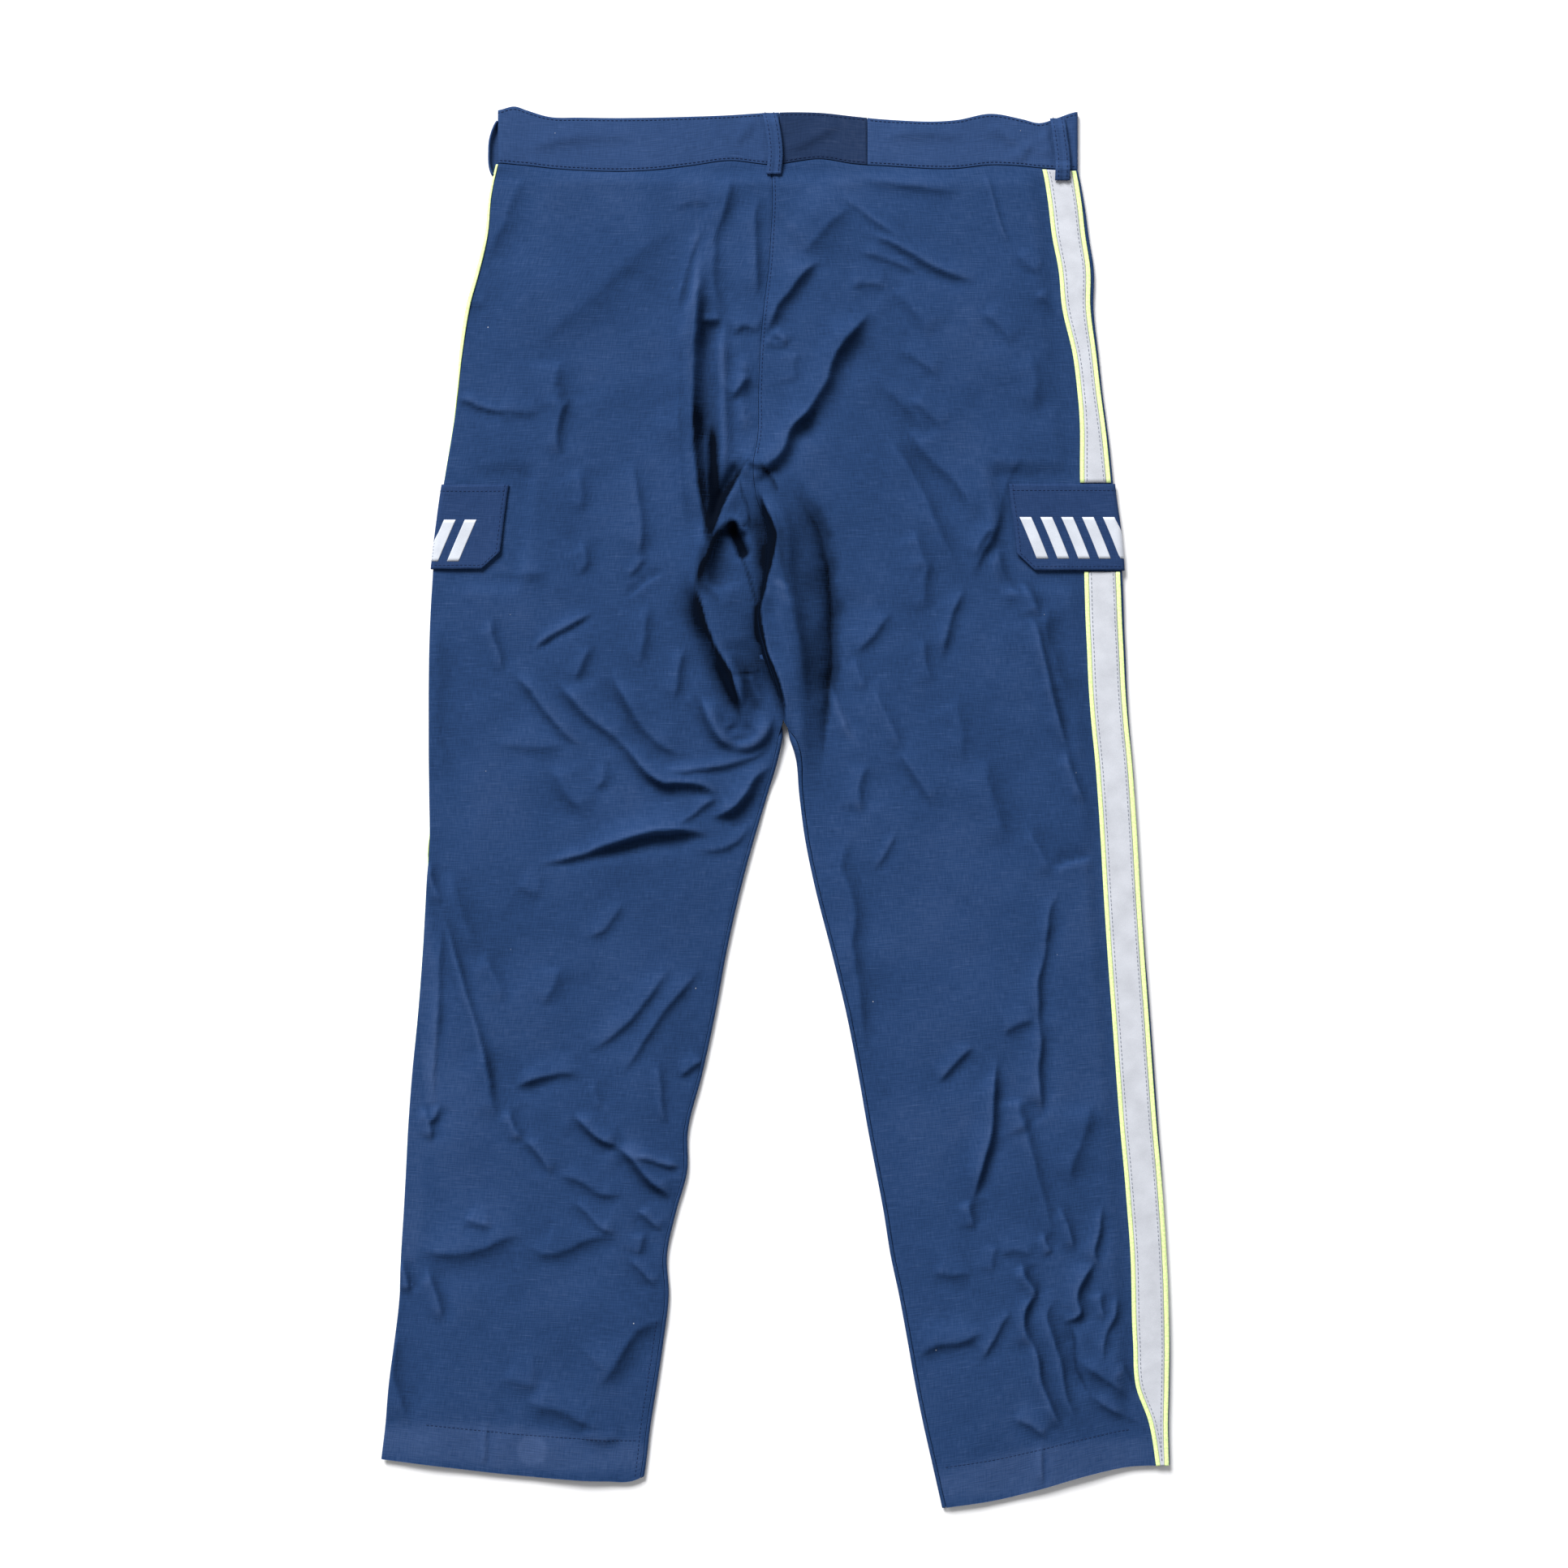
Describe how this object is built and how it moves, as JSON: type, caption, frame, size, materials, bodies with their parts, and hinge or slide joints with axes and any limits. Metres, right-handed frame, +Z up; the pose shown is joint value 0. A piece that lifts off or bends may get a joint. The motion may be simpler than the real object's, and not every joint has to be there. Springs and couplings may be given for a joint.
{
  "type": "police uniform trousers laid flat",
  "caption": "Navy uniform trousers laid flat, seen from the back, with reflective side stripes, neon piping, pocket flaps and belt loops.",
  "frame": {"origin": "middle of the footprint, on the surface that the trousers lie on", "axes": "+Y from the hems to the waist, +Z up from the surface through the back of the trousers, +X to the right as seen from above"},
  "size_m": [0.6071, 1.0759, 0.0195],
  "materials": {
    "navy_cloth": "soft satin twill",
    "dark_insert": "matt stretch cloth",
    "reflective_tape": "grey glass-bead reflective",
    "neon_piping": "fluorescent yellow-green"
  },
  "bodies": {
    "root": {"back_left": "navy_cloth", "back_right": "navy_cloth", "front_left": "navy_cloth", "front_right": "navy_cloth", "waistband_left": "navy_cloth", "waistband_insert": "dark_insert", "waistband_right": "navy_cloth", "belt_loop_centre": "navy_cloth", "belt_loop_right": "navy_cloth", "belt_loop_left": "navy_cloth", "flap_left": "navy_cloth", "flap_right": "navy_cloth", "stripe_left_upper": "reflective_tape", "stripe_left_lower": "reflective_tape", "stripe_right_upper": "reflective_tape", "stripe_right_lower": "reflective_tape", "piping_left_upper_back": "neon_piping", "piping_left_upper_front": "neon_piping", "piping_left_lower_back": "neon_piping", "piping_left_lower_front": "neon_piping", "piping_right_upper_back": "neon_piping", "piping_right_upper_front": "neon_piping", "piping_right_lower_back": "neon_piping", "piping_right_lower_front": "neon_piping"}
  },
  "joints": []
}
